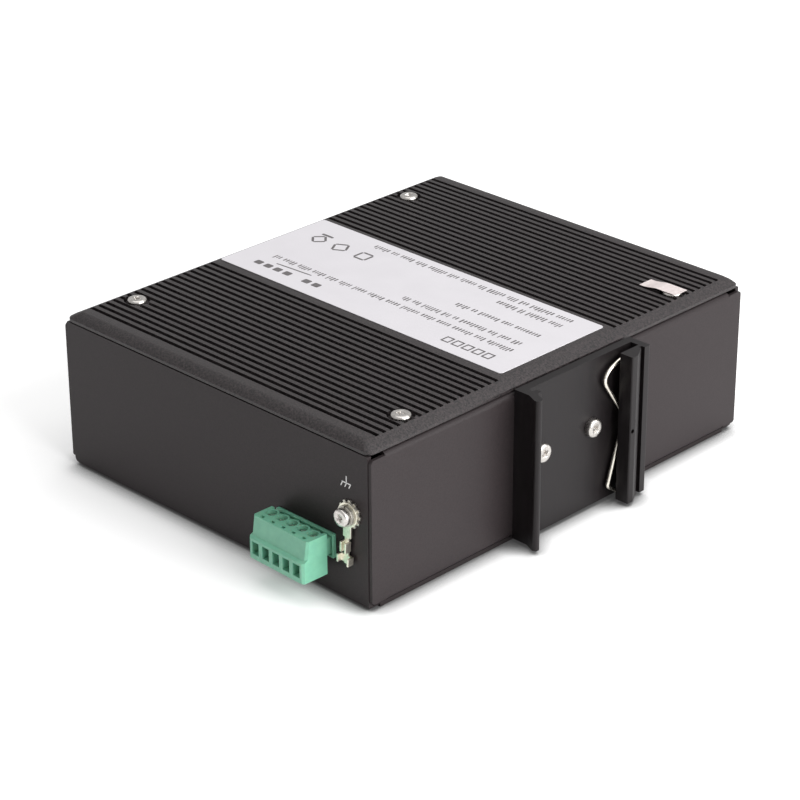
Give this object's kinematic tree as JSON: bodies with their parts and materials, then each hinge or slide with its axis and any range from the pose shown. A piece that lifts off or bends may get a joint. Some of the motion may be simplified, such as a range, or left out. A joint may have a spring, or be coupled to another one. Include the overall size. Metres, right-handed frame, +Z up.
{
  "type": "rail-mounted ethernet switch",
  "caption": "Black industrial ethernet switch with a finned aluminium cover, network ports, a green power terminal, a ground lug and a rail clip.",
  "frame": {"origin": "centre of the resting side, on the surface that the switch lies on", "axes": "+Z up through the finned cover, +Y along the case's length away from the terminal face, +X toward the rail clip"},
  "size_m": [0.1255, 0.1539, 0.0468],
  "materials": {
    "powder_coat": "black powder coat on steel sheet, fine satin texture",
    "anodised_cover": "black anodised aluminium, milled",
    "anodised_clip": "black anodised extruded aluminium",
    "spring_steel": "bright drawn spring wire",
    "bright_screw": "bright plated steel",
    "plated_steel": "zinc plated steel",
    "lug_tin": "tinned brass, slightly cream",
    "label_film": "off-white printed film",
    "seal_film": "thin off-white tamper film",
    "green_plastic": "moulded green polyamide",
    "tinned_pin": "tin plated brass",
    "post_brass": "nickel plated brass",
    "board_laminate": "green solder mask on glass laminate",
    "jack_plastic": "black moulded polyester",
    "jack_shield": "nickel plated folded sheet",
    "gold_contact": "gold plated spring contacts",
    "lamp_lens": "clear tinted lamp resin",
    "connector_plastic": "black moulded polyester",
    "chip_resin": "black moulded resin",
    "pad_silicone": "grey gap filler",
    "block_aluminium": "plain machined aluminium",
    "capacitor_can": "sleeved aluminium can",
    "ferrite": "dark sintered ferrite",
    "fuse_ceramic": "pale ceramic tube"
  },
  "bodies": {
    "root": {"case_shell": "powder_coat", "front_panel": "powder_coat", "rear_panel": "powder_coat", "heatsink_cover": "anodised_cover", "din_rail_clip": "anodised_clip", "clip_spring_wire": "spring_steel", "cover_screws": "bright_screw", "clip_screws": "bright_screw", "base_screws": "bright_screw", "ground_screw": "bright_screw", "clip_nuts": "plated_steel", "ground_nut": "plated_steel", "ground_washer": "plated_steel", "ground_spring_washer": "plated_steel", "ground_lug": "lug_tin", "nameplate_label": "label_film", "seal_sticker": "seal_film", "terminal_header": "green_plastic", "terminal_plug": "green_plastic", "header_pins": "tinned_pin", "terminal_clamps": "tinned_pin", "terminal_screws": "tinned_pin", "board_standoffs": "post_brass", "cover_posts": "post_brass", "main_board": "board_laminate", "jack_housing_1": "jack_plastic", "jack_housing_2": "jack_plastic", "jack_housing_3": "jack_plastic", "jack_housing_4": "jack_plastic", "indicator_block": "jack_plastic", "jack_shield_1": "jack_shield", "jack_shield_2": "jack_shield", "jack_shield_3": "jack_shield", "jack_shield_4": "jack_shield", "sfp_cage_1": "jack_shield", "sfp_cage_2": "jack_shield", "jack_contacts": "gold_contact", "jack_lamps": "lamp_lens", "indicator_lamps": "lamp_lens", "sfp_connector_1": "connector_plastic", "sfp_connector_2": "connector_plastic", "switch_chip": "chip_resin", "line_transformers": "chip_resin", "supply_converter": "chip_resin", "thermal_pad": "pad_silicone", "heat_block": "block_aluminium", "capacitors": "capacitor_can", "inductor": "ferrite", "fuse": "fuse_ceramic"}
  },
  "joints": []
}
